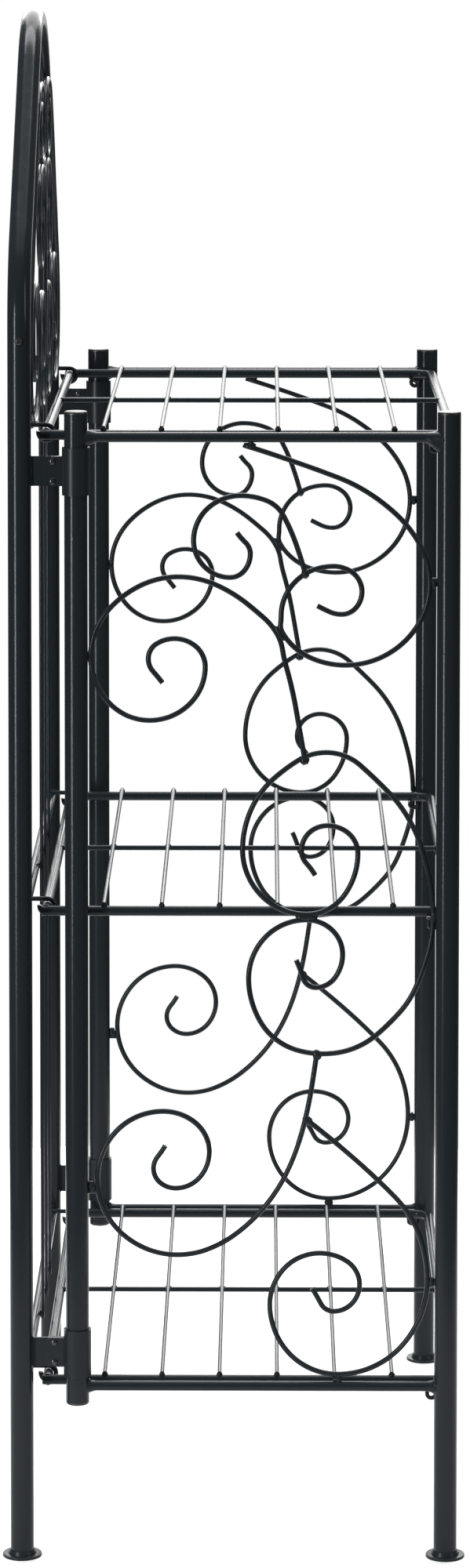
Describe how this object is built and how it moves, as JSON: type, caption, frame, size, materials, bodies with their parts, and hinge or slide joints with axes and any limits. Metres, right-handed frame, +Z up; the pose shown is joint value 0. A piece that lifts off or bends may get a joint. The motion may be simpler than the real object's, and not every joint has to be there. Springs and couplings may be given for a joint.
{
  "type": "bakers rack",
  "caption": "Folding bakers rack of black coated steel tube and wire: arched back and hinged side panels with scrollwork, and wire shelves that swing up.",
  "frame": {"origin": "on the floor, in the middle of the footprint", "axes": "+X to the right across the width seen from the front, -Y towards the front, +Z up"},
  "size_m": [0.677, 0.4399, 1.469],
  "materials": {
    "tube_coat": "gloss black powder coat",
    "wire_coat": "gloss black powder coat",
    "hinge_coat": "gloss black powder coat",
    "fastener_coat": "black, slightly duller",
    "cap_plastic": "gloss black"
  },
  "bodies": {
    "back_frame": {"arch_screws": "fastener_coat", "back_arch": "tube_coat", "back_feet": "tube_coat", "back_spindles": "wire_coat", "bottom_crossbar": "wire_coat", "hinge_eyes": "wire_coat", "hinge_lugs": "hinge_coat", "hinge_rivets": "fastener_coat", "inner_arch_scrolls": "wire_coat", "left_back_leg": "tube_coat", "left_hinge_straps": "hinge_coat", "middle_crossbar": "wire_coat", "outer_arch_scrolls": "wire_coat", "right_back_leg": "tube_coat", "right_hinge_straps": "hinge_coat", "top_crossbar": "wire_coat"},
    "left_panel": {"left_rear_post": "tube_coat", "left_front_post": "tube_coat", "left_post_caps": "cap_plastic", "left_front_foot": "tube_coat", "left_top_rail": "wire_coat", "left_bottom_rail": "wire_coat", "left_shelf_rests": "wire_coat", "left_upper_front_scroll": "wire_coat", "left_upper_rear_scroll": "wire_coat", "left_top_scroll": "wire_coat", "left_upper_waist_scroll": "wire_coat", "left_lower_waist_scroll": "wire_coat", "left_lower_rear_scroll": "wire_coat", "left_lower_front_scroll": "wire_coat", "left_weld_studs": "wire_coat"},
    "right_panel": {"right_rear_post": "tube_coat", "right_front_post": "tube_coat", "right_post_caps": "cap_plastic", "right_front_foot": "tube_coat", "right_top_rail": "wire_coat", "right_bottom_rail": "wire_coat", "right_shelf_rests": "wire_coat", "right_upper_front_scroll": "wire_coat", "right_upper_rear_scroll": "wire_coat", "right_top_scroll": "wire_coat", "right_upper_waist_scroll": "wire_coat", "right_lower_waist_scroll": "wire_coat", "right_lower_rear_scroll": "wire_coat", "right_lower_front_scroll": "wire_coat", "right_weld_studs": "wire_coat"},
    "top_shelf": {"top_shelf_rim": "wire_coat", "top_shelf_rear_rod": "wire_coat", "top_shelf_spine": "wire_coat", "top_shelf_wires": "wire_coat"},
    "middle_shelf": {"middle_shelf_rim": "wire_coat", "middle_shelf_rear_rod": "wire_coat", "middle_shelf_spine": "wire_coat", "middle_shelf_wires": "wire_coat"},
    "bottom_shelf": {"bottom_shelf_rim": "wire_coat", "bottom_shelf_rear_rod": "wire_coat", "bottom_shelf_spine": "wire_coat", "bottom_shelf_wires": "wire_coat"}
  },
  "joints": [
    {"name": "top_shelf_hinge", "type": "hinge", "parent": "back_frame", "child": "top_shelf", "pos_m": [0, 0.178, 1.073], "axis": [-1, 0, 0], "range_deg": [0, 90]},
    {"name": "middle_shelf_hinge", "type": "hinge", "parent": "back_frame", "child": "middle_shelf", "pos_m": [0, 0.178, 0.619], "axis": [-1, 0, 0], "range_deg": [0, 90]},
    {"name": "bottom_shelf_hinge", "type": "hinge", "parent": "back_frame", "child": "bottom_shelf", "pos_m": [0, 0.178, 0.165], "axis": [-1, 0, 0], "range_deg": [0, 90]},
    {"name": "left_panel_hinge", "type": "hinge", "parent": "back_frame", "child": "left_panel", "pos_m": [-0.32, 0.1485, 0.62], "axis": [0, 0, -1], "range_deg": [0, 90]},
    {"name": "right_panel_hinge", "type": "hinge", "parent": "back_frame", "child": "right_panel", "pos_m": [0.32, 0.1485, 0.62], "axis": [0, 0, 1], "range_deg": [0, 90]}
  ]
}
